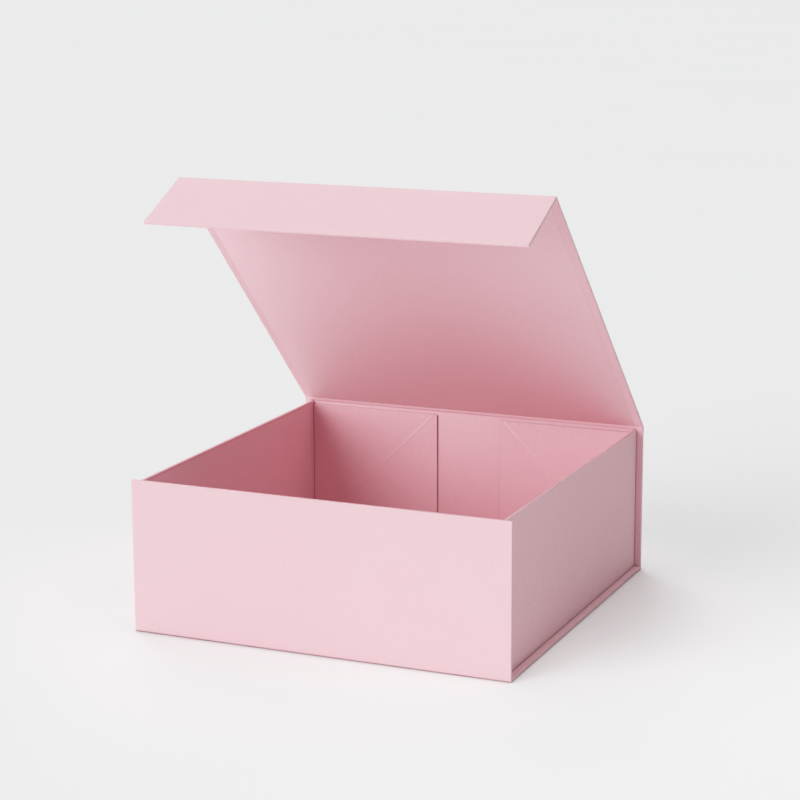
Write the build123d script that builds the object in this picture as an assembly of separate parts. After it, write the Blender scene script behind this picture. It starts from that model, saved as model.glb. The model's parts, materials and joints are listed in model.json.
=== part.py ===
from build123d import *
import os
from math import cos, radians, sin, sqrt

os.makedirs("parts", exist_ok=True)

# A collapsible gift and flower box, opened half way.
# A case of five boards (front, base, spine, lid, flap) is held in one paper wrap that folds
# between them. Two side walls and four corner gussets stand on the case and fold flat with it.
# Frame: millimetres, +Z up, +Y towards the spine, origin at the centre of the base's underside.

# Driving dimensions
case_width = 300.0            # along X, the same for all five case panels
case_depth = 300.0            # along Y, over the front wall and the spine
closed_height = 120.0         # over the closed lid
flap_length = 62.0            # from the lid's front crease to the flap's free edge
side_inset = 5.3              # from the case's edge to a side wall's outer face
lid_lean = 45.5               # lid's angle from vertical, towards the front, as shown
flap_fold = 70.0              # flap's angle from the lid's plane, as shown

# Materials
board = 2.0                   # greyboard of the panels
paper = 0.3                   # wrapping paper and lining paper
gusset_board = 1.2            # greyboard of the lower gusset halves, glued down
gusset_flap_board = 0.9       # greyboard of the folding gusset halves
tape = 0.2                    # adhesive tape on the folding gusset halves
magnet_radius = 6.0
magnet_inset = 10.0           # from the flap's free edge to its magnets
magnet_thickness = 1.5
disc_radius = 7.5             # steel disc that a magnet closes on
disc_thickness = 1.0

# How the papers lie
turn_in = 15.0                # width of wrap folded over a board's edge
lining_margin = 6.5           # from a case panel's edge to its lining
wall_lining_margin = 2.0      # from a side wall's edge to its lining
tape_width = 18.0
tape_margin = 6.0             # from a folding gusset half's upright and top edges to its tape
tape_crease_margin = 8.0      # from its crease to its tape
fold_radius = 1.2             # outside radius of the wrap where it turns a corner
wall_fold_radius = 0.45       # bead of lining paper at the foot of a side wall

# Gaps that let the panels fold
lid_gap = 0.4                 # between the closed lid and the front wall, above and in front
wall_drop = 0.5               # side walls stop this far below the front wall
outer_gutter = 1.0            # from a base fold's axis to the next panel's wrap
board_gutter = 1.4            # from a base fold's axis to the upright panel's board
base_gutter = 1.9             # from a base fold's axis to the base's board
lid_gutter = 2.1              # from a lid fold's axis to the boards beside it
wall_end_gap = 1.6            # between a side wall's end and the gussets, at the foot
wall_top_gap = 4.3            # and at the top
wall_foot_gap = 0.2           # between a side wall's foot and the base
wall_lining_gap = 0.15        # between the bead and a side wall's lining
axis_inset = 0.05             # from a side wall's lining to its fold axis
bead_lift = 0.1               # between the bead and the base's turn-ins
base_lining_gap = 0.1         # between the bead and the base's lining
base_lining_end_gap = 0.2     # from the end of the base's board to its lining
gusset_foot_gap = 0.15        # between a gusset and the fold at its foot
crease_half_gap = 0.2         # half the gap along a gusset's diagonal crease
gusset_back_gap = 0.1         # between a folding gusset half and the panel behind it
gusset_tip_cut = 4.0          # height of the folding half's clipped tip
free_end_from_centre = 28.4   # from the middle of the case to a gusset's free end
gusset_top_drop = 3.0         # gussets stop this far below the front wall

# Worked out from the above
lined = 2 * paper + board                     # wrap, board and turn-in
panel = lined + paper                         # with the lining on top
front_height = closed_height - panel - lid_gap
outer_wall_face = case_width / 2 - side_inset
inner_wall_face = outer_wall_face - panel
fold_y = case_depth / 2 - fold_radius         # spine fold and lid fold, above one another
fold_z = fold_radius
lid_fold_z = closed_height - fold_radius
panel_face = -fold_radius                     # a case panel's outer face, from its fold axis
lid_span = 2 * fold_y + lid_gap + panel       # from the lid's fold to the flap's fold
wall_fold_x = inner_wall_face - axis_inset
wall_fold_z = lined + wall_fold_radius + bead_lift
wall_face = wall_fold_x - outer_wall_face     # a side wall's outer face, from its fold axis
gusset_face = panel_face + panel + gusset_board + paper
wall_length = 2 * (fold_y - gusset_face - wall_end_gap)
vertex = wall_fold_z - fold_z                 # gusset corner, above the case's fold axis


def across(half):
    """A (low, high) pair centred on zero."""
    return (-half, half)


def outline(points, depth):
    """A flat piece with straight sides, between two heights."""
    face = Plane.XY.offset(depth[0]) * make_face(Polyline(*points, close=True))
    return extrude(face, depth[1] - depth[0])


def plate(width, reach, depth, taper=0.0):
    """A flat piece centred across X, over the (low, high) pairs reach in Y and depth in Z.

    Its sides lean in by taper for each unit of Y.
    """
    foot, top = (width / 2 - taper * y for y in reach)
    return outline([(-foot, reach[0]), (foot, reach[0]), (top, reach[1]), (-top, reach[1])], depth)


# A panel is built in its own frame: X across it, Y up from its fold axis, Z towards the inside
# of the box. face is the Z of its outer face.

def panel_board(face, width, start, end, taper=0.0):
    """Greyboard inside a panel's wrap, from start to end up the panel."""
    depth = (face + paper, face + paper + board)
    return plate(width - 2 * paper, (start, end), depth, taper)


def panel_wrap(face, width, sheet, start, end, closed=False, taper=0.0):
    """Paper over a board from start to end: outer sheet, side edges and turn-ins.

    sheet is the (low, high) reach of the outer sheet. A closed panel is wrapped over its far end.
    """
    top = face + lined
    far = end + paper if closed else end
    window_end = end - turn_in if closed else end
    outer_sheet = plate(width, (sheet[0], far if closed else sheet[1]), (face, face + paper), taper)
    edges = plate(width, (start, far), (face + paper, top), taper)
    edges -= plate(width - 2 * paper, (start, end), (face + paper, face + paper + board), taper)
    edges -= plate(width - 2 * turn_in, (start, window_end), (face + paper + board, top), taper)
    return outer_sheet + edges


def panel_lining(face, width, start, end, closed=False, margin=lining_margin, taper=0.0):
    """Lining sheet. It lies on the turn-ins and sinks onto the board between them."""
    top = face + lined
    sheet_end = end - margin if closed else end
    window_end = end - turn_in if closed else end
    sheet = plate(width - 2 * margin, (start, sheet_end), (top, top + paper), taper)
    return sheet + plate(width - 2 * turn_in, (start, window_end), (top - paper, top), taper)


def disc_pair(radius, thickness, spacing, height, low):
    """Two discs let into a board, side by side."""
    one = Pos(0, 0, low + thickness / 2) * Cylinder(radius, thickness)
    return Pos(-spacing / 2, height, 0) * one + Pos(spacing / 2, height, 0) * one


def fold_band(axis_y, axis_z, first_angle):
    """Wrap turning a corner: a quarter tube about a fold axis along X.

    It starts at first_angle, counted from +Y towards +Z.
    """
    tube = Cylinder(fold_radius, case_width) - Cylinder(fold_radius - paper, case_width)
    corner = outline([(0, 0), (fold_radius, 0), (fold_radius, fold_radius), (0, fold_radius)],
                     across(case_width / 2))
    quarter = tube & corner
    along = Plane((0, axis_y, axis_z), x_dir=(0, 1, 0), z_dir=(1, 0, 0))
    return along * (Rot(Z=first_angle) * quarter)


# Frames of the panels

spine_frame = Plane((0, fold_y, fold_z), x_dir=(1, 0, 0), z_dir=(0, -1, 0))
front_frame = Plane((0, -fold_y, fold_z), x_dir=(-1, 0, 0), z_dir=(0, 1, 0))
right_frame = Plane((wall_fold_x, 0, wall_fold_z), x_dir=(0, -1, 0), z_dir=(-1, 0, 0))
left_frame = Plane((-wall_fold_x, 0, wall_fold_z), x_dir=(0, 1, 0), z_dir=(1, 0, 0))


def leaning(y, z, lean):
    """Frame of a panel that leans towards the front by so many degrees from upright."""
    inward = (0, -cos(radians(lean)), -sin(radians(lean)))
    return Plane((0, y, z), x_dir=(1, 0, 0), z_dir=inward)


lid_frame = leaning(fold_y, lid_fold_z, lid_lean)
flap_axis = lid_frame.from_local_coords((0, lid_span, 0))
flap_frame = leaning(flap_axis.Y, flap_axis.Z, lid_lean + flap_fold)

parts = {}


# Base

base_reach = across(fold_y - base_gutter)
base_lining_reach = across(fold_y - base_gutter - base_lining_end_gap)
parts["base_board"] = panel_board(0, case_width, *base_reach)
parts["base_wrap"] = panel_wrap(0, case_width, across(fold_y), *base_reach)
base_lining_margin = case_width / 2 - wall_fold_x + wall_fold_radius + base_lining_gap
base_lining = plate(case_width - 2 * turn_in, base_lining_reach, (lined - paper, lined))
base_lining += plate(case_width - 2 * base_lining_margin, base_lining_reach, (lined, panel))
parts["base_lining"] = base_lining
parts["rear_fold_band"] = fold_band(fold_y, fold_z, -90)
parts["front_fold_band"] = fold_band(-fold_y, fold_z, 180)


def wall_fold_bead(side):
    """Lining paper folded into a narrow bead that a side wall turns on."""
    bead = Cylinder(wall_fold_radius, wall_length)
    foot = plate(2 * wall_fold_radius, (-wall_fold_radius - bead_lift, 0), across(wall_length / 2))
    along = Plane((side * wall_fold_x, 0, wall_fold_z), x_dir=(1, 0, 0), z_dir=(0, -1, 0))
    return along * (bead + foot)


parts["left_fold_bead"] = wall_fold_bead(-1)
parts["right_fold_bead"] = wall_fold_bead(1)


# Spine

spine_end = lid_fold_z - fold_z
spine_board_end = spine_end - lid_gutter
parts["spine_board"] = spine_frame * panel_board(
    panel_face, case_width, board_gutter, spine_board_end)
parts["spine_wrap"] = spine_frame * panel_wrap(
    panel_face, case_width, (outer_gutter, spine_end), board_gutter, spine_board_end)
parts["spine_lining"] = spine_frame * panel_lining(
    panel_face, case_width, board_gutter, spine_board_end)
parts["lid_fold_band"] = fold_band(fold_y, lid_fold_z, 0)


# Lid

lid_reach = (lid_gutter, lid_span - lid_gutter)
parts["lid_board"] = lid_frame * panel_board(panel_face, case_width, *lid_reach)
parts["lid_wrap"] = lid_frame * panel_wrap(
    panel_face, case_width, (lid_reach[0], lid_span), *lid_reach)
parts["lid_lining"] = lid_frame * panel_lining(panel_face, case_width, *lid_reach)
parts["flap_fold_band"] = fold_band(flap_axis.Y, flap_axis.Z, lid_lean)


# Flap, with two magnets let into the inner side of its board

flap_end = flap_length - fold_radius - paper
magnet_spacing = case_width / 2
magnet_height = flap_end - magnet_radius - magnet_inset
magnet_top = panel_face + paper + board
magnets = disc_pair(
    magnet_radius, magnet_thickness, magnet_spacing, magnet_height, magnet_top - magnet_thickness)
parts["flap_board"] = flap_frame * (
    panel_board(panel_face, case_width, lid_gutter, flap_end) - magnets)
parts["flap_wrap"] = flap_frame * panel_wrap(
    panel_face, case_width, (lid_gutter, flap_end), lid_gutter, flap_end, closed=True)
parts["flap_lining"] = flap_frame * panel_lining(
    panel_face, case_width, lid_gutter, flap_end, closed=True)
parts["flap_magnets"] = flap_frame * magnets


# Front wall, with two steel discs let into the outer side of its board, facing the magnets

front_end = front_height - fold_z - paper
disc_height = closed_height - fold_radius - magnet_height - fold_z
discs = disc_pair(disc_radius, disc_thickness, magnet_spacing, disc_height, panel_face + paper)
parts["front_board"] = front_frame * (
    panel_board(panel_face, case_width, board_gutter, front_end) - discs)
parts["front_wrap"] = front_frame * panel_wrap(
    panel_face, case_width, (outer_gutter, front_end), board_gutter, front_end, closed=True)
parts["front_lining"] = front_frame * panel_lining(
    panel_face, case_width, board_gutter, front_end, closed=True)
parts["front_steel_discs"] = front_frame * discs


# Side walls. Their ends lean in a little, clear of the gussets' swing, and their wrap leaves
# room for the bead at the foot of the inner face.

wall_start = lined + wall_foot_gap - wall_fold_z
wall_end = front_height - wall_drop - wall_fold_z - paper
wall_lining_start = wall_fold_radius + wall_lining_gap
wall_taper = (wall_top_gap - wall_end_gap) / wall_end
wall_reach = (wall_start, wall_end)
bead_room = plate(2 * wall_length, (-wall_length, wall_lining_start), (wall_face + paper + board, panel))
for name, frame in (("left_wall", left_frame), ("right_wall", right_frame)):
    wrap = panel_wrap(wall_face, wall_length, wall_reach, *wall_reach, True, wall_taper)
    parts[name + "_board"] = frame * panel_board(wall_face, wall_length, *wall_reach, wall_taper)
    parts[name + "_wrap"] = frame * (wrap - bead_room)
    parts[name + "_lining"] = frame * panel_lining(
        wall_face, wall_length, wall_lining_start, wall_end, True, wall_lining_margin, wall_taper)


# Corner gussets. Each is a square flap on the spine or the front wall, creased from its foot at
# the corner up to its free end. The lower half is glued down; the upper half folds over it.

gusset_span = inner_wall_face - free_end_from_centre
gusset_top = front_height - gusset_top_drop - wall_fold_z
gusset_back = panel_face + panel
crease_shift = crease_half_gap * sqrt(2)


def gusset_points(side, points):
    """Points given as (distance in from the corner, height over its foot), on a panel's frame."""
    return [(side * (inner_wall_face - inward), vertex + up) for inward, up in points]


def lower_half(side, low, high):
    """The glued half: under the diagonal crease, over the (low, high) heights from its panel."""
    foot = gusset_foot_gap
    points = [(foot + crease_shift, foot), (gusset_span, foot), (gusset_span, gusset_top),
              (gusset_top + crease_shift, gusset_top)]
    return outline(gusset_points(side, points), (low, high))


def upper_half(side, low, high):
    """The folding half: above the crease, with its tip clipped at the corner's foot."""
    tip = gusset_tip_cut
    points = [(gusset_foot_gap, tip), (tip - crease_shift, tip),
              (gusset_top - crease_shift, gusset_top), (gusset_foot_gap, gusset_top)]
    return outline(gusset_points(side, points), (low, high))


def gusset_tape(side, low, high):
    """A strip of tape across the upper half, below its top edge."""
    top = gusset_top - tape_margin
    foot = top - tape_width
    points = [(tape_margin, foot), (foot - tape_crease_margin, foot),
              (top - tape_crease_margin, top), (tape_margin, top)]
    return outline(gusset_points(side, points), (low, high))


cover_low = gusset_back + gusset_board
flap_low = cover_low - gusset_flap_board
tape_low = gusset_back + gusset_back_gap
corners = (
    ("rear_left", spine_frame, -1), ("rear_right", spine_frame, 1),
    ("front_left", front_frame, 1), ("front_right", front_frame, -1),
)
for name, frame, side in corners:
    parts[name + "_gusset_board"] = frame * lower_half(side, gusset_back, cover_low)
    parts[name + "_gusset_cover"] = frame * lower_half(side, cover_low, gusset_face)
    parts[name + "_flap_board"] = frame * upper_half(side, flap_low, cover_low)
    parts[name + "_flap_cover"] = frame * upper_half(side, cover_low, gusset_face)
    parts[name + "_flap_tape"] = frame * gusset_tape(side, tape_low, flap_low)

for name, shape in parts.items():
    export_step(shape, f"parts/{name}.step")
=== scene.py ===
"""Looks of the folding flower box: paper skins, linings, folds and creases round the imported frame."""
import json
import math

import bmesh
import bpy
from mathutils import Matrix, Vector


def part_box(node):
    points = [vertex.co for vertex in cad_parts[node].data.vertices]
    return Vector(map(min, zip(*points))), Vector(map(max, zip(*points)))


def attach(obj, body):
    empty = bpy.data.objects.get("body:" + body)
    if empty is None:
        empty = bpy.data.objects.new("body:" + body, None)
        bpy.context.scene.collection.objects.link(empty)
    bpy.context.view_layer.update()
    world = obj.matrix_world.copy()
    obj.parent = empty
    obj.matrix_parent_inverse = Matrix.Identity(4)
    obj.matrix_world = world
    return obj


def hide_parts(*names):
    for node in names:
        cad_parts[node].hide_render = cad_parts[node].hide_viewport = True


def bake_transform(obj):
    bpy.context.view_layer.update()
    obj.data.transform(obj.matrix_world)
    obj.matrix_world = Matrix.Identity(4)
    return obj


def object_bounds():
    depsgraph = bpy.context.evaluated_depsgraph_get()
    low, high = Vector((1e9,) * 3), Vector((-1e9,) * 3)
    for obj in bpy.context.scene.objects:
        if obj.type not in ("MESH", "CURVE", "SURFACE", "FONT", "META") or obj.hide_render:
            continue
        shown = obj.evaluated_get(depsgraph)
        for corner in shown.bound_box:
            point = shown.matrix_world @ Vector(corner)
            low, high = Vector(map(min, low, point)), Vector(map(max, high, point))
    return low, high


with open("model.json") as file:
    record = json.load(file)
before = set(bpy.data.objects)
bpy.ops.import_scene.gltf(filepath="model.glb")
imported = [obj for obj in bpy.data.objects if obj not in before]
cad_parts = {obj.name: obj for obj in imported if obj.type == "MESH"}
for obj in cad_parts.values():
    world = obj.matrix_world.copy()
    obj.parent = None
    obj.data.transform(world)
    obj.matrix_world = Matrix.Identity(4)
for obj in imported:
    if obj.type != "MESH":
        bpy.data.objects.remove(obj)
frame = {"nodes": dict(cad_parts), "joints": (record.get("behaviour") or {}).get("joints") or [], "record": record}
cad_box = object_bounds()

MM = 0.001
X = Vector((1, 0, 0))
Y = Vector((0, 1, 0))
Z = Vector((0, 0, 1))
ORIGIN = Vector((0, 0, 0))

# Sizes that the CAD model doesn't hold
EDGE_RADIUS = 0.55 * MM        # wrap turning over a case board's edge
GUSSET_RADIUS = 0.45 * MM      # cover turning over a gusset board's edge
LINING_RADIUS = 0.12 * MM      # edge of a lining sheet
STRIP_RADIUS = 0.05 * MM       # end of a hinge strip
TURN_IN = 15.0 * MM            # wrap folded over on to a board's inside
GLUE_SINK = 0.04 * MM          # how far a glued sheet presses into the one below
WRAP_SHARE = 0.97              # part of the room between a board and its wrap's face that paper fills
COVER_SHARE = 0.95             # and of the room round a gusset's edges
LINING_SHEET = 0.18 * MM       # lining paper
LINING_RIM = 0.8 * MM          # from a lid fold to the ends of the linings beside it
FOOT_PAPER = 0.15 * MM         # wrap under a side wall's foot
HINGE_PAPER = 0.09 * MM        # lining strip over a fold's inside
HINGE_FLANGE = 5.0 * MM        # its overlap on each board
WALL_HINGE_RADIUS = 0.34 * MM  # outside of the hinge at a side wall's foot
GUSSET_PAPER = 0.28 * MM       # cover turned over a gusset's edges
BARE_FOR_SHADE_LOWER = 0.8 * MM          # board left bare behind the turned edges of a gusset's lower half, a dark strip that stands in for the shade in the gap at its free end
BARE_UPPER = 0.02 * MM         # and of its upper half
CREASE_HALF = 0.9 * MM         # half the width of the raised paper along a gusset's crease
CREASE_RISE = 0.32 * MM
CREASE_PAPER = 0.10 * MM
CREASE_LIFT = 0.01 * MM        # over the covers beside it
CORNER_OVERLAP = 0.8 * MM      # corner paper over a side wall's end
CORNER_LIFT = 0.03 * MM        # how far it lies over the wall's paper
CORNER_GAP = 0.12 * MM         # between it and the panel it meets
CORNER_FOOT_GAP = 0.8 * MM     # between it and the wall's fold

ARC_STEPS = 10                 # segments round a fold
FOLD_SLICES = 24               # slices along a fold
END_STEPS = (0.0, 0.12, 0.35, 0.65, 1.0)   # slices over a fold's rounded end, as parts of its radius
CREASE_STEPS = 8               # segments across a crease
CREASE_SLICES = 30             # slices along it
SHARP_ANGLE = math.radians(40)
SAME_PLACE = 0.01 * MM         # points closer than this are at one level
NEAR_TOP = 0.5 * MM            # and closer than this to a wall's top are its upper corners
DIAGONAL_MATCH = 0.02          # how far an edge may be from 45 degrees, as a part of its length


# ---------------------------------------------------------------- frames of the panels

joints = {j["name"]: j for j in frame["joints"]}


def joint_at(name):
    return Vector(joints[name]["pos_m"])


def upper_limit(name):
    return math.radians(joints[name]["range_deg"][1])


class Panel:
    """A panel's own frame: across it, up from its fold axis, and inward to the box's inside."""

    def __init__(self, origin, across, up):
        self.origin = origin
        self.across = across
        self.up = up
        self.inward = across.cross(up)
        axes = Matrix((across, up, self.inward)).transposed()
        self.matrix = Matrix.Translation(origin) @ axes.to_4x4()
        self.inverse = self.matrix.inverted()

    def points(self, node):
        """Corners of a CAD node in this frame."""
        return [self.inverse @ v.co for v in frame["nodes"][node].data.vertices]

    def span(self, node):
        """Lowest and highest corner of a CAD node in this frame."""
        points = self.points(node)
        low = Vector(min(p[i] for p in points) for i in range(3))
        high = Vector(max(p[i] for p in points) for i in range(3))
        return low, high

    def top_half_length(self, node):
        """Half the length of a node at its top, for a side wall, whose ends lean in."""
        points = self.points(node)
        top = max(p.y for p in points)
        return max(p.x for p in points if p.y > top - NEAR_TOP)


def leaning(lean):
    """Direction from a fold axis up a panel that leans forward from upright."""
    return Vector((0, -math.sin(lean), math.cos(lean)))


lid_lean = math.pi / 2 - upper_limit("lid_hinge")
flap_lean = lid_lean + math.pi / 2 - upper_limit("flap_hinge")
base = Panel(ORIGIN, X, Y)
spine = Panel(joint_at("spine_fold"), X, Z)
front = Panel(joint_at("front_fold"), -X, Z)
lid = Panel(joint_at("lid_hinge"), X, leaning(lid_lean))
flap = Panel(joint_at("flap_hinge"), X, leaning(flap_lean))
walls = {
    "left": Panel(joint_at("left_wall_fold"), Y, Z),
    "right": Panel(joint_at("right_wall_fold"), -Y, Z),
}
# The base again, with up pointing to the front and to each side wall
base_to_front = Panel(ORIGIN, -X, -Y)
base_to_wall = {"left": Panel(ORIGIN, Y, -X), "right": Panel(ORIGIN, -Y, X)}


# ---------------------------------------------------------------- materials

BLACK = (0, 0, 0)
WHITE = (1, 1, 1)
PINK = (0.83, 0.505, 0.56)
PALE_PINK = (0.90, 0.66, 0.70)
PAINTED_CREVICE_SHADE = (0.58, 0.44, 0.46)   # painted shade: how dark pink paper is painted inside a crevice


class Look:
    """One node material and the few kinds of node that wire it."""

    def __init__(self, name):
        self.material = bpy.data.materials.new(name)
        self.material.use_nodes = True
        self.tree = self.material.node_tree
        self.shader = self.tree.nodes["Principled BSDF"]
        self.place = self.tree.nodes.new("ShaderNodeTexCoord").outputs["Object"]

    def put(self, value, target):
        """Links or sets a node's input, from an output, a number or a colour."""
        if isinstance(value, (int, float)):
            target.default_value = value
        elif isinstance(value, tuple):
            target.default_value = (*value, 1)
        else:
            self.tree.links.new(value, target)

    def set(self, **inputs):
        """Sets the surface shader's inputs, written with _ for a space."""
        for name, value in inputs.items():
            self.put(value, self.shader.inputs[name.replace("_", " ")])

    def noise(self, scale, detail, roughness, stretch=(1, 1, 1)):
        mapping = self.tree.nodes.new("ShaderNodeMapping")
        mapping.inputs["Scale"].default_value = stretch
        self.put(self.place, mapping.inputs["Vector"])
        node = self.tree.nodes.new("ShaderNodeTexNoise")
        self.put(scale, node.inputs["Scale"])
        self.put(detail, node.inputs["Detail"])
        self.put(roughness, node.inputs["Roughness"])
        self.put(mapping.outputs["Vector"], node.inputs["Vector"])
        return node.outputs["Fac"]

    def ramp(self, source, first, last):
        """Colour ramp between two stops, each (position, colour)."""
        node = self.tree.nodes.new("ShaderNodeValToRGB")
        for element, (position, color) in zip(node.color_ramp.elements, (first, last)):
            element.position = position
            element.color = (*color, 1)
        self.put(source, node.inputs["Fac"])
        return node.outputs["Color"]

    def math(self, operation, *values):
        node = self.tree.nodes.new("ShaderNodeMath")
        node.operation = operation
        for value, target in zip(values, node.inputs):
            self.put(value, target)
        return node.outputs[0]

    def mix(self, factor, a, b, blend="MIX"):
        node = self.tree.nodes.new("ShaderNodeMix")
        node.data_type = "RGBA"
        node.blend_type = blend
        for value, index in ((factor, 0), (a, 6), (b, 7)):
            self.put(value, node.inputs[index])
        return node.outputs[2]

    def edges(self, radius):
        """1 on sharply rounded edges, 0 on flat faces."""
        bevel = self.tree.nodes.new("ShaderNodeBevel")
        bevel.samples = 6
        self.put(radius, bevel.inputs["Radius"])
        geometry = self.tree.nodes.new("ShaderNodeNewGeometry")
        dot = self.tree.nodes.new("ShaderNodeVectorMath")
        dot.operation = "DOT_PRODUCT"
        self.put(bevel.outputs["Normal"], dot.inputs[0])
        self.put(geometry.outputs["True Normal"], dot.inputs[1])
        return self.ramp(dot.outputs["Value"], (0.80, WHITE), (0.995, BLACK))

    def painted_shade(self, reach, darkest):
        """Painted shade: white in the open, falling to darkest in creases and joints narrower than reach."""
        node = self.tree.nodes.new("ShaderNodeAmbientOcclusion")
        node.samples = 6
        self.put(reach, node.inputs["Distance"])
        return self.ramp(node.outputs["AO"], (0.35, darkest), (0.85, WHITE))

    def climb(self, low, high):
        """0 below one height, 1 above another."""
        split = self.tree.nodes.new("ShaderNodeSeparateXYZ")
        self.put(self.place, split.inputs[0])
        node = self.tree.nodes.new("ShaderNodeMapRange")
        self.put(low, node.inputs["From Min"])
        self.put(high, node.inputs["From Max"])
        self.put(split.outputs["Z"], node.inputs["Value"])
        return node.outputs["Result"]

    def bump(self, height, distance):
        node = self.tree.nodes.new("ShaderNodeBump")
        self.put(1.0, node.inputs["Strength"])
        self.put(distance, node.inputs["Distance"])
        self.put(height, node.inputs["Height"])
        self.put(node.outputs["Normal"], self.shader.inputs["Normal"])


def shade(color, factor):
    return tuple(min(1.0, c * factor) for c in color)


def varied(look, source, color, darker, lighter):
    """A colour that follows a noise between a darker and a lighter shade."""
    return look.ramp(source, (0.3, shade(color, darker)), (0.7, shade(color, lighter)))


def paper_material(name, color, tooth=0.03 * MM, painted_highlight_above=None):
    """Uncoated dyed paper: fibre tooth, faint clouding, paler along rounded edges, and painted shade in creases
    and joints.

    For a crease, the last argument is (low, high): its paper gets paler between those heights, a painted highlight
    towards its top.
    """
    look = Look(name)
    clouds = look.noise(scale=9.0, detail=4.0, roughness=0.6)
    fibres = look.noise(scale=420.0, detail=5.0, roughness=0.65, stretch=(1.0, 0.35, 1.0))
    specks = look.noise(scale=1500.0, detail=2.0, roughness=0.5)
    long_fibres = look.noise(scale=760.0, detail=2.0, roughness=0.5, stretch=(0.25, 1.0, 0.6))
    clouded = varied(look, clouds, color, 0.975, 1.02)
    body = look.mix(0.5, clouded, varied(look, fibres, color, 0.93, 1.06))
    strays = look.ramp(long_fibres, (0.66, BLACK), (0.74, WHITE))
    body = look.mix(look.math("MULTIPLY", strays, 0.18), body, PALE_PINK)
    if painted_highlight_above:
        # Painted highlight: a crease's paper gets paler towards its top, where light falls on it
        paleness = look.math("MULTIPLY", look.climb(*painted_highlight_above), 0.65)
    else:
        # Other paper gets paler along its rounded edges
        paleness = look.math("MULTIPLY", look.edges(0.7 * MM), 0.35)
    body = look.mix(paleness, body, PALE_PINK)
    # Painted shade: the paper's colour darkens in creases and joints narrower than 2 mm
    look.set(Base_Color=look.mix(1.0, body, look.painted_shade(2.0 * MM, PAINTED_CREVICE_SHADE), "MULTIPLY"),
             Roughness=look.math("MULTIPLY_ADD", clouds, 0.08, 0.74),
             Specular_IOR_Level=0.35, Sheen_Weight=0.12, Sheen_Roughness=0.5)
    grain = look.math("ADD", look.math("MULTIPLY", fibres, 0.7), look.math("MULTIPLY", specks, 0.3))
    look.bump(grain, tooth)
    return look.material


def board_material(name, color):
    """Recycled greyboard: flecks of pulp and darker fibres."""
    look = Look(name)
    pulp = look.noise(scale=260.0, detail=6.0, roughness=0.7)
    flecks = look.noise(scale=900.0, detail=3.0, roughness=0.6, stretch=(1, 0.3, 1))
    dark = look.math("MULTIPLY", look.ramp(flecks, (0.62, BLACK), (0.7, WHITE)), 0.5)
    body = varied(look, pulp, color, 0.8, 1.15)
    look.set(Base_Color=look.mix(dark, body, shade(color, 0.45)), Roughness=0.92)
    look.bump(pulp, 0.06 * MM)
    return look.material


def metal_material(name, color, roughness):
    """Plated or bright steel with fine tumbling marks."""
    look = Look(name)
    marks = look.noise(scale=700.0, detail=4.0, roughness=0.6, stretch=(1, 0.15, 1))
    look.set(Base_Color=varied(look, marks, color, 0.85, 1.1), Metallic=1.0,
             Roughness=look.math("MULTIPLY_ADD", marks, 0.15, roughness))
    look.bump(marks, 0.01 * MM)
    return look.material


def tape_material(name, color):
    """Silicone-coated release paper over adhesive tape."""
    look = Look(name)
    blotches = look.noise(scale=60.0, detail=4.0, roughness=0.6)
    wrinkles = look.noise(scale=240.0, detail=3.0, roughness=0.55, stretch=(0.3, 1, 1))
    look.set(Base_Color=varied(look, blotches, color, 0.95, 1.03), Roughness=0.38, Coat_Weight=0.2)
    look.bump(wrinkles, 0.03 * MM)
    return look.material


# A painted pool of light: the floor glows faintly in front of the box and to its right
GLOW_CENTRE = (cad_box[1][0] + 100 * MM, cad_box[0][1] - 90 * MM, 0)
GLOW_RADIUS = 250 * MM
GLOW_STRENGTH = 0.24


def floor_material():
    """Seamless white paper sweep, with a painted pool of light in front of the box and painted contact shadow
    where it meets the box.
    """
    look = Look("floor_finish")
    clouds = look.noise(scale=1.5, detail=3.0, roughness=0.5)
    paper = look.ramp(clouds, (0.3, (0.925, 0.933, 0.933)), (0.7, (0.937, 0.945, 0.945)))
    # Painted contact shadow: the floor darkens where it meets the box
    painted_contact_shadow = look.painted_shade(9.0 * MM, (0.52, 0.5, 0.5))
    away = look.tree.nodes.new("ShaderNodeVectorMath")
    away.operation = "DISTANCE"
    away.inputs[1].default_value = GLOW_CENTRE
    look.put(look.place, away.inputs[0])
    square = look.math("POWER", look.math("DIVIDE", away.outputs["Value"], GLOW_RADIUS), 2.0)
    fading = look.math("EXPONENT", look.math("MULTIPLY", square, -1.0))
    glow = look.math("MULTIPLY", fading, GLOW_STRENGTH)
    # Painted light: the floor's emission paints the pool of light, dimmed by the painted contact shadow
    look.set(Base_Color=look.mix(1.0, paper, painted_contact_shadow, "MULTIPLY"),
             Roughness=0.9, Specular_IOR_Level=0.1,
             Emission_Color=WHITE, Emission_Strength=look.math("MULTIPLY", glow, painted_contact_shadow))
    return look.material


wrap_paper = paper_material("wrap_paper_finish", PINK)
lining_paper = paper_material("lining_paper_finish", shade(PINK, 0.99), tooth=0.024 * MM)
# The crease's paper is painted paler from 50 mm up to 115 mm, a painted highlight where light falls
crease_paper = paper_material("crease_paper_finish", PINK, painted_highlight_above=(50 * MM, 115 * MM))
slot_finish = {
    "wrap_paper": wrap_paper,
    "lining_paper": lining_paper,
    "greyboard": board_material("greyboard_finish", (0.42, 0.40, 0.37)),
    "magnet": metal_material("magnet_finish", (0.72, 0.71, 0.69), 0.25),
    "steel_disc": metal_material("steel_disc_finish", (0.60, 0.61, 0.63), 0.35),
    "tape": tape_material("tape_finish", (0.80, 0.78, 0.72)),
}


def finish_cad_nodes():
    """Gives each CAD node the material of its slot in the record."""
    for subpart in frame["record"]["subparts"]:
        materials = frame["nodes"][subpart["node"]].data.materials
        materials.clear()
        materials.append(slot_finish[subpart["material_slot"]])


# ---------------------------------------------------------------- mesh helpers

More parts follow.
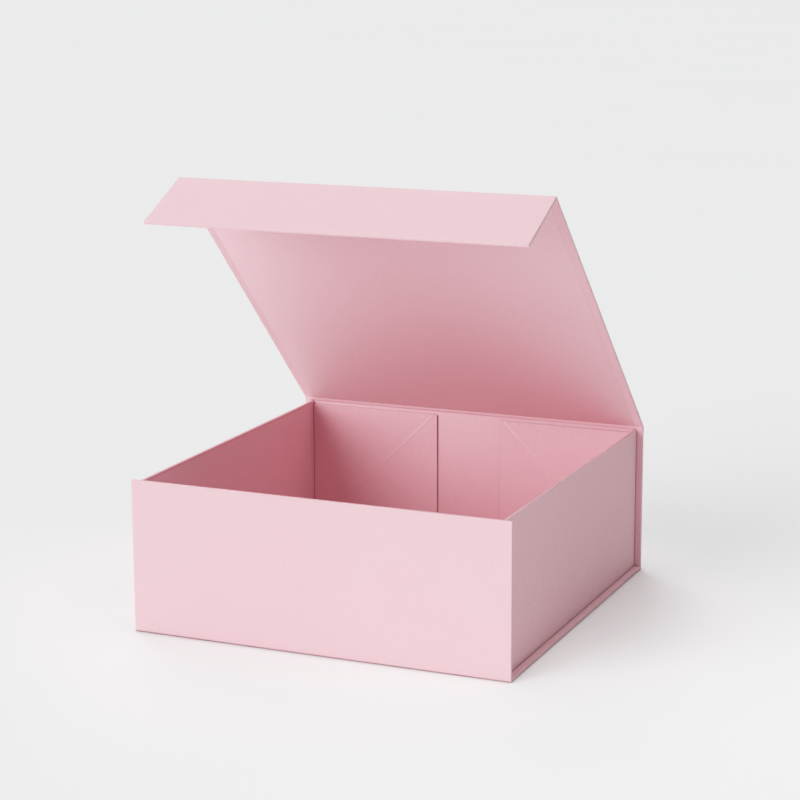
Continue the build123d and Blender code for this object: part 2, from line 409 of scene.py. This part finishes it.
def link_mesh(bm, name, matrix, material):
    """Makes an object of bm, placed in the row frame."""
    mesh = bpy.data.meshes.new(name)
    bm.to_mesh(mesh)
    bm.free()
    mesh.transform(matrix)
    for polygon in mesh.polygons:
        polygon.use_smooth = True
    mesh.materials.append(material)
    piece = bpy.data.objects.new(name, mesh)
    bpy.context.scene.collection.objects.link(piece)
    return piece


def solid_piece(bm, name, matrix, material):
    """Makes an object of a closed mesh, smooth apart from its sharp edges."""
    bmesh.ops.recalc_face_normals(bm, faces=bm.faces)
    piece = link_mesh(bm, name, matrix, material)
    piece.data.set_sharp_from_angle(angle=SHARP_ANGLE)
    return piece


def bevel(bm, edges, radius, steps=3):
    bmesh.ops.bevel(bm, geom=list(edges), offset=radius, segments=steps, profile=0.5,
                    affect="EDGES", clamp_overlap=True)


def skin_piece(bm, name, panel, material, folds, radius, thickness, facing):
    """Makes an object of a sheet folded over a board: rounded folds, and thickness behind the sheet.

    facing is 1 where the broadest face looks to the box's inside and -1 where it looks out.
    """
    bmesh.ops.recalc_face_normals(bm, faces=bm.faces)
    broadest = max(bm.faces, key=lambda f: f.calc_area())
    if broadest.normal.z * facing < 0:
        bmesh.ops.reverse_faces(bm, faces=bm.faces)
    bevel(bm, folds, radius)
    piece = link_mesh(bm, name, panel.matrix, material)
    solid = piece.modifiers.new("paper", "SOLIDIFY")
    solid.thickness = thickness
    solid.offset = -1.0
    solid.use_even_offset = True
    piece.modifiers.new("shading", "WEIGHTED_NORMAL").keep_sharp = True
    return piece


def bridge(bm, rings):
    """Closes a solid over a row of rings."""
    count = len(rings[0])
    for first, second in zip(rings, rings[1:]):
        for i in range(count):
            j = (i + 1) % count
            bm.faces.new((first[i], first[j], second[j], second[i]))
    bm.faces.new(list(reversed(rings[0])))
    bm.faces.new(rings[-1])


def slab(points, low, high):
    """A flat closed mesh between two levels of a panel's frame, and its lower and upper rim."""
    bm = bmesh.new()
    rims = [[bm.verts.new((x, y, level)) for x, y in points] for level in (low, high)]
    bridge(bm, rims)
    return bm, rims


def settle(piece, body, slot, *nodes):
    """The piece rides on a body and stands for CAD nodes, which it hides; slot is not used."""
    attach(piece, body)
    if nodes:
        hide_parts(*nodes)


# ---------------------------------------------------------------- wrapped boards

def wrapped_skin(body, panel, closed_top=False, closed_foot=False, tapered=False):
    """Paper over a body's board: outer sheet, side edges and turn-ins, with mitred corners.

    Where an end isn't closed, a fold's paper goes on from it. A tapered board is shorter at its top.
    """
    board_low, board_high = panel.span(f"{body}_board")
    low, high = panel.span(f"{body}_wrap")
    paper = board_low.z - low.z
    start = board_low.y - (FOOT_PAPER if closed_foot else 0)
    end = board_high.y + (paper if closed_top else 0)
    foot_half = high.x
    top_half = panel.top_half_length(f"{body}_wrap") if tapered else foot_half
    taper = (foot_half - top_half) / (end - start)
    bm = bmesh.new()

    def corner(side, y, inset, z):
        return bm.verts.new((side * (foot_half - taper * (y - start) - inset), y, z))

    def side_corners(side):
        return {
            "outer_foot": corner(side, start, 0, low.z),
            "outer_top": corner(side, end, 0, low.z),
            "inner_foot": corner(side, start, 0, high.z),
            "inner_top": corner(side, end, 0, high.z),
            "hem_foot": corner(side, start + (TURN_IN if closed_foot else 0), TURN_IN, high.z),
            "hem_top": corner(side, end - (TURN_IN if closed_top else 0), TURN_IN, high.z),
        }

    minus = side_corners(-1)
    plus = side_corners(1)
    bm.faces.new((minus["outer_foot"], minus["outer_top"], plus["outer_top"], plus["outer_foot"]))
    hems = []
    for at in (minus, plus):
        bm.faces.new((at["outer_foot"], at["outer_top"], at["inner_top"], at["inner_foot"]))
        hems.append(bm.faces.new((at["inner_foot"], at["inner_top"], at["hem_top"], at["hem_foot"])))
    for closed, place in ((closed_top, "top"), (closed_foot, "foot")):
        if closed:
            outer, inner, hem = f"outer_{place}", f"inner_{place}", f"hem_{place}"
            bm.faces.new((minus[outer], plus[outer], plus[inner], minus[inner]))
            hems.append(bm.faces.new((minus[inner], plus[inner], plus[hem], minus[hem])))
    shared = [e for e in bm.edges if len(e.link_faces) == 2]
    folds = [e for e in shared if not all(f in hems for f in e.link_faces)]
    piece = skin_piece(bm, f"{body}_paper", panel, wrap_paper, folds, EDGE_RADIUS,
                       paper * WRAP_SHARE, facing=-1)
    settle(piece, body, "wrap_paper", f"{body}_wrap")


# ---------------------------------------------------------------- linings

def lining(body, panel, foot_inset=0.0, top_inset=0.0, tapered=False):
    """The lining sheet that lies on a body's turn-ins."""
    node = f"{body}_lining"
    low, high = panel.span(node)
    half = high.x
    top_half = panel.top_half_length(node) if tapered else half
    foot, top = low.y + foot_inset, high.y - top_inset
    points = [(-half, foot), (half, foot), (top_half, top), (-top_half, top)]
    turn_ins = panel.span(f"{body}_wrap")[1].z
    bm, (_, rim) = slab(points, turn_ins - GLUE_SINK, turn_ins + LINING_SHEET)
    bevel(bm, [e for e in bm.edges if all(v in rim for v in e.verts)], LINING_RADIUS, steps=2)
    piece = solid_piece(bm, f"{body}_lining_sheet", panel.matrix, lining_paper)
    settle(piece, body, "lining_paper", node)


# ---------------------------------------------------------------- folds of the case

class Bend:
    """A fold's cross-section, in the up and inward directions of its first panel.

    The fold's axis is at the origin. reach is how far from it each panel's board starts.
    """

    def __init__(self, turn, reach_a=0.0, reach_b=0.0):
        self.turn = turn
        self.reach_a = reach_a
        self.reach_b = reach_b

    def at(self, part, along, depth):
        """part 0 is the first panel and 1 the second; along runs up the panel, depth inward."""
        angle = self.turn * part
        up = Vector((math.cos(angle), math.sin(angle)))
        inward = Vector((-math.sin(angle), math.cos(angle)))
        return up * along + inward * depth

    def arc(self, depth):
        return [self.at(i / ARC_STEPS, 0, depth) for i in range(ARC_STEPS + 1)]

    def ends(self, depth, flange=0.0):
        """Points on the first and the second panel, beside the fold."""
        return (self.at(0, -self.reach_a - flange, depth), self.at(1, self.reach_b + flange, depth))

    def inner_path(self, depth):
        """The fold's inside, from the first panel's board to the second's."""
        first, last = self.ends(depth)
        angle = math.atan2(first.y, first.x)
        last_angle = math.atan2(last.y, last.x)
        if last_angle > angle:
            angle += 2 * math.pi
        path = []
        for i in range(ARC_STEPS + 1):
            t = i / ARC_STEPS
            turned = angle + (last_angle - angle) * t
            radius = first.length + (last.length - first.length) * t
            path.append(Vector((math.cos(turned), math.sin(turned))) * radius)
        return path

    def gutter(self, outside, inside):
        """Outline of the paper that fills the fold."""
        first, last = self.ends(-outside)
        return [first] + self.arc(-outside) + [last] + self.inner_path(inside)[::-1]

    def strip(self, depth):
        """Outline of a lining strip that lies on both panels and follows the fold's inside."""
        sides = []
        for level in (depth - GLUE_SINK, depth + HINGE_PAPER):
            first, last = self.ends(level, HINGE_FLANGE)
            sides.append([first] + self.inner_path(level) + [last])
        return sides[0] + sides[1][::-1]

    def wall_strip(self):
        """Outline of a lining strip round the outside of a sharp fold."""
        sides = []
        for level in (-WALL_HINGE_RADIUS, HINGE_PAPER - WALL_HINGE_RADIUS):
            first, last = self.ends(level, HINGE_FLANGE)
            sides.append([first] + self.arc(level) + [last])
        return sides[0] + sides[1][::-1]


def sweep(panel, axis, section, half_length, radius):
    """Sweeps a section along a fold. section takes a shrink, which rounds the ends."""
    inner_half = half_length - radius
    places = [-half_length + step * radius for step in END_STEPS]
    places += [-inner_half + 2 * inner_half * i / FOLD_SLICES for i in range(1, FOLD_SLICES)]
    places += [half_length - step * radius for step in reversed(END_STEPS)]
    bm = bmesh.new()
    rings = []
    for place in places:
        gap = max(0.0, radius - (half_length - abs(place)))
        shrink = radius - math.sqrt(max(0.0, radius ** 2 - gap ** 2))
        ring = []
        for p in section(shrink):
            ring.append(bm.verts.new(axis + panel.across * place + panel.up * p.x + panel.inward * p.y))
        rings.append(ring)
    bridge(bm, rings)
    return bm


def fold_piece(bm, name, material):
    """Makes an object of a fold's mesh."""
    piece = solid_piece(bm, name, Matrix.Identity(4), material)
    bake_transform(piece)
    return piece


def case_fold(name, bodies, panels, node):
    """Paper in the gutter between two bodies' boards, and the lining strip over its inside.

    The first panel's up points to the fold and the second's away from it.
    """
    a, b = panels
    axis = b.origin
    reach_a = (axis - a.origin).dot(a.up) - a.span(f"{bodies[0]}_board")[1].y
    reach_b = b.span(f"{bodies[1]}_board")[0].y
    outside = (axis - a.origin).dot(a.inward) - a.span(f"{bodies[0]}_wrap")[0].z
    inside = b.span(f"{bodies[1]}_wrap")[1].z
    bend = Bend(math.atan2(b.up.dot(a.inward), b.up.dot(a.up)), reach_a, reach_b)

    gutter = sweep(a, axis, lambda shrink: bend.gutter(outside - shrink, inside - shrink),
                   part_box("lid_wrap")[1].x, EDGE_RADIUS)
    strip = sweep(a, axis, lambda shrink: bend.strip(inside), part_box("lid_lining")[1].x, STRIP_RADIUS)
    paper = fold_piece(gutter, name, wrap_paper)
    fold_piece(strip, f"{name}_strip", lining_paper)
    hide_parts(node)


def wall_hinge(side):
    """The paper hinge at a side wall's foot, round the wall's fold axis."""
    wall = walls[side]
    base_panel = base_to_wall[side]
    bend = Bend(math.pi / 2)
    half_length = wall.span(f"{side}_fold_bead")[1].x - EDGE_RADIUS
    strip = sweep(base_panel, wall.origin, lambda shrink: bend.wall_strip(), half_length, STRIP_RADIUS)
    piece = fold_piece(strip, f"{side}_wall_fold_strip", lining_paper)
    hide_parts(f"{side}_fold_bead")


# ---------------------------------------------------------------- corner gussets

def outline(panel, node):
    """Corners of a flat CAD node, in order round it, in a panel's frame."""
    corners = {}
    for p in panel.points(node):
        corners[(round(p.x / MM, 2), round(p.y / MM, 2))] = Vector((p.x, p.y))
    middle = centre_of(corners.values())
    return sorted(corners.values(), key=lambda p: math.atan2(p.y - middle.y, p.x - middle.x))


def centre_of(points):
    return sum(points, Vector((0, 0))) / len(points)


def gusset_skin(half, panel, body, free_end):
    """Paper over one half of a gusset, turned over its top and, if it has one, its free end."""
    cover = f"{half}_cover"
    points = outline(panel, cover)
    front_level = panel.span(cover)[1].z
    # Painted shade: on a gusset's lower half the paper stops short and the dark bare board shows, standing in for
    # the shade in the gap at its free end
    back_level = panel.span(f"{half}_board")[0].z + (BARE_FOR_SHADE_LOWER if free_end else BARE_UPPER)
    top = max(p.y for p in points)
    end = min((p.x for p in points), key=abs)
    outward = -math.copysign(1.0, end)

    def on_top(p):
        return abs(p.y - top) < SAME_PLACE

    def on_end(p):
        return free_end and abs(p.x - end) < SAME_PLACE

    def grown(p):
        across = outward * GUSSET_PAPER if on_end(p) else 0
        return Vector((p.x + across, p.y + (GUSSET_PAPER if on_top(p) else 0)))

    bm = bmesh.new()
    rim = [bm.verts.new((*grown(p), front_level)) for p in points]
    bm.faces.new(rim)
    turned = {}
    for i in range(len(points)):
        j = (i + 1) % len(points)
        if all(map(on_top, (points[i], points[j]))) or all(map(on_end, (points[i], points[j]))):
            for k in (i, j):
                if k not in turned:
                    turned[k] = bm.verts.new((*grown(points[k]), back_level))
            bm.faces.new((rim[i], turned[i], turned[j], rim[j]))
    folds = [e for e in bm.edges if len(e.link_faces) == 2]
    piece = skin_piece(bm, f"{half}_paper", panel, lining_paper, folds, GUSSET_RADIUS,
                       GUSSET_PAPER * COVER_SHARE, facing=1)
    settle(piece, body, "lining_paper", cover)


def diagonal_edge(points):
    """The longest edge of an outline that runs at 45 degrees, foot first."""
    pairs = [(points[i - 1], points[i]) for i in range(len(points))]
    slanted = []
    for a, b in pairs:
        if abs(abs(b.x - a.x) - abs(b.y - a.y)) < DIAGONAL_MATCH * (b - a).length:
            slanted.append(sorted((a, b), key=lambda p: p.y))
    return max(slanted, key=lambda pair: (pair[1] - pair[0]).length)


def crease(corner, panel):
    """The cover's paper across a gusset's diagonal crease, raised a little along it."""
    upper = outline(panel, f"{corner}_flap_cover")
    upper_foot, upper_top = diagonal_edge(upper)
    lower_foot, lower_top = diagonal_edge(outline(panel, f"{corner}_gusset_cover"))
    top = (upper_top + lower_top) / 2
    along = (top - (upper_foot + lower_foot) / 2).normalized()
    length = (upper_top - upper_foot).length
    foot = top - along * length
    side = Vector((-along.y, along.x))
    if side.dot(centre_of(upper) - foot) < 0:
        side = -side
    level = panel.span(f"{corner}_flap_cover")[1].z
    bm = bmesh.new()
    rings = []
    for i in range(CREASE_SLICES + 1):
        place = foot + along * length * i / CREASE_SLICES
        over, under = [], []
        for k in range(CREASE_STEPS + 1):
            t = 2 * k / CREASE_STEPS - 1
            p = place + side * CREASE_HALF * t
            height = level + CREASE_LIFT + CREASE_RISE * (1 - t * t)
            over.append(bm.verts.new((p.x, p.y, height)))
            under.append(bm.verts.new((p.x, p.y, height - CREASE_PAPER)))
        rings.append(over + under[::-1])
    bridge(bm, rings)
    piece = solid_piece(bm, f"{corner}_crease", panel.matrix, crease_paper)
    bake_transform(piece)


# ---------------------------------------------------------------- corner paper of the walls

def corner_paper(side, end, direction):
    """Paper that carries a wall's faces on to the spine or front, past the board's leaning end."""
    panel = walls[side]
    node = f"{side}_wall_wrap"
    low, high = panel.span(node)
    top_half = panel.top_half_length(node)
    foot, top = low.y + CORNER_FOOT_GAP, high.y + CORNER_LIFT
    foot_half = high.x - (high.x - top_half) * CORNER_FOOT_GAP / (high.y - low.y)
    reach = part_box("spine_lining")[0].y - CORNER_GAP
    points = [(foot_half - CORNER_OVERLAP, foot), (reach, foot),
              (reach, top), (top_half - CORNER_OVERLAP, top)]
    bm, _ = slab([(direction * x, y) for x, y in points], low.z - CORNER_LIFT, high.z + LINING_SHEET)
    rims = []
    for edge in bm.edges:
        a, b = (v.co for v in edge.verts)
        on_top = max(abs(a.y - top), abs(b.y - top)) < SAME_PLACE
        on_end = max(abs(abs(a.x) - reach), abs(abs(b.x) - reach)) < SAME_PLACE
        if abs(a.z - b.z) < SAME_PLACE and (on_top or on_end):
            rims.append(edge)
    bevel(bm, rims, EDGE_RADIUS)
    piece = solid_piece(bm, f"{side}_{end}_corner_paper", panel.matrix, wrap_paper)
    settle(piece, f"{side}_wall", "wrap_paper")


# ---------------------------------------------------------------- floor, light and camera

def add_floor():
    half = 60.0
    corners = [(-half, -half, 0), (half, -half, 0), (half, half, 0), (-half, half, 0)]
    mesh = bpy.data.meshes.new("floor")
    mesh.from_pydata(corners, [], [(0, 1, 2, 3)])
    mesh.materials.append(floor_material())
    floor = bpy.data.objects.new("floor", mesh)
    bpy.context.scene.collection.objects.link(floor)


def looking_from(azimuth, elevation):
    """Rotation of a lamp or camera that looks back from an azimuth and elevation, in degrees.

    Azimuth 0 is in front of the box, and it grows to the right.
    """
    a, e = math.radians(azimuth), math.radians(elevation)
    back = Vector((math.sin(a) * math.cos(e), -math.cos(a) * math.cos(e), math.sin(e)))
    return back.to_track_quat("Z", "Y")


def place_in_scene(name, data, rotation, location=(0, 0, 0)):
    item = bpy.data.objects.new(name, data)
    item.location = location
    item.rotation_mode = "QUATERNION"
    item.rotation_quaternion = rotation
    bpy.context.scene.collection.objects.link(item)
    return item


def add_sun(name, azimuth, elevation, strength, spread):
    """Soft light from a direction, spread over an angle in degrees."""
    lamp = bpy.data.lights.new(name, "SUN")
    lamp.energy = strength
    lamp.angle = math.radians(spread)
    place_in_scene(name, lamp, looking_from(azimuth, elevation))


def add_world(strength, backdrop):
    """White surroundings: faint as a light, and as pale as the floor where the camera sees them."""
    world = bpy.data.worlds.new("studio")
    world.use_nodes = True
    nodes, links = world.node_tree.nodes, world.node_tree.links
    background = nodes["Background"]
    background.inputs["Color"].default_value = (*WHITE, 1)
    seen = nodes.new("ShaderNodeMapRange")
    seen.inputs["To Min"].default_value = strength
    seen.inputs["To Max"].default_value = backdrop
    path = nodes.new("ShaderNodeLightPath")
    links.new(path.outputs["Is Camera Ray"], seen.inputs["Value"])
    links.new(seen.outputs["Result"], background.inputs["Strength"])
    bpy.context.scene.world = world


def add_camera(location, azimuth, elevation, roll, view_angle):
    data = bpy.data.cameras.new("camera")
    data.sensor_width = 36.0
    data.lens = data.sensor_width / 2 / math.tan(math.radians(view_angle) / 2)
    data.clip_start, data.clip_end = 0.05, 500.0
    turn = Matrix.Rotation(math.radians(roll), 3, "Z").to_quaternion()
    rotation = looking_from(azimuth, elevation) @ turn
    bpy.context.scene.camera = place_in_scene("camera", data, rotation, location)


def soften_highlights(start, ceiling, white, steps=20):
    """Rolls bright tones off above start towards ceiling, as film does."""
    view = bpy.context.scene.view_settings
    view.view_transform, view.look = "Standard", "None"
    view.use_curve_mapping = True
    mapping = view.curve_mapping
    mapping.white_level = (white, white, white)
    curve = mapping.curves[3]
    room = ceiling - start
    for i in range(1, steps + 1):
        x = white * i / steps
        y = x if x <= start else start + room * (1 - math.exp(-(x - start) / room))
        if i < steps:
            curve.points.new(i / steps, y)
        else:
            curve.points[-1].location = (1.0, y)
    mapping.update()


# ---------------------------------------------------------------- the box

wrapped_skin("base", base)
wrapped_skin("spine", spine)
wrapped_skin("lid", lid)
wrapped_skin("flap", flap, closed_top=True)
wrapped_skin("front", front, closed_top=True)

lining("base", base)
lining("spine", spine, top_inset=LINING_RIM)
lining("lid", lid, foot_inset=LINING_RIM, top_inset=LINING_RIM)
lining("flap", flap, foot_inset=LINING_RIM)
lining("front", front)

case_fold("rear_base_fold", ("base", "spine"), (base, spine), "rear_fold_band")
case_fold("front_base_fold", ("base", "front"), (base_to_front, front), "front_fold_band")
case_fold("lid_fold", ("spine", "lid"), (spine, lid), "lid_fold_band")
case_fold("flap_fold", ("lid", "flap"), (lid, flap), "flap_fold_band")

for side, panel in walls.items():
    wrapped_skin(f"{side}_wall", panel, closed_top=True, closed_foot=True, tapered=True)
    lining(f"{side}_wall", panel, tapered=True)
    wall_hinge(side)
    corner_paper(side, "rear", math.copysign(1, panel.across.y))
    corner_paper(side, "front", -math.copysign(1, panel.across.y))

for end, panel, holder in (("rear", spine, "spine"), ("front", front, "front")):
    for side in ("left", "right"):
        corner = f"{end}_{side}"
        gusset_skin(f"{corner}_gusset", panel, holder, free_end=True)
        gusset_skin(f"{corner}_flap", panel, f"{corner}_flap", free_end=False)
        crease(corner, panel)

finish_cad_nodes()

# ---------------------------------------------------------------- the studio

add_floor()
add_world(strength=0.02, backdrop=1.02)
add_sun("key", azimuth=-31.0, elevation=18.0, strength=2.70, spread=44.0)
add_sun("fill", azimuth=57.0, elevation=30.0, strength=0.38, spread=40.0)
add_sun("top", azimuth=0.0, elevation=88.0, strength=1.68, spread=40.0)
add_sun("back", azimuth=-140.0, elevation=38.0, strength=1.22, spread=40.0)
add_camera(location=(0.6846, -1.5780, 0.5396), azimuth=23.408, elevation=12.480, roll=-0.214,
           view_angle=19.741)
soften_highlights(start=0.4, ceiling=1.15, white=2.5)
bpy.context.scene.cycles.diffuse_bounces = 9   # light inside the box bounces from wall to wall
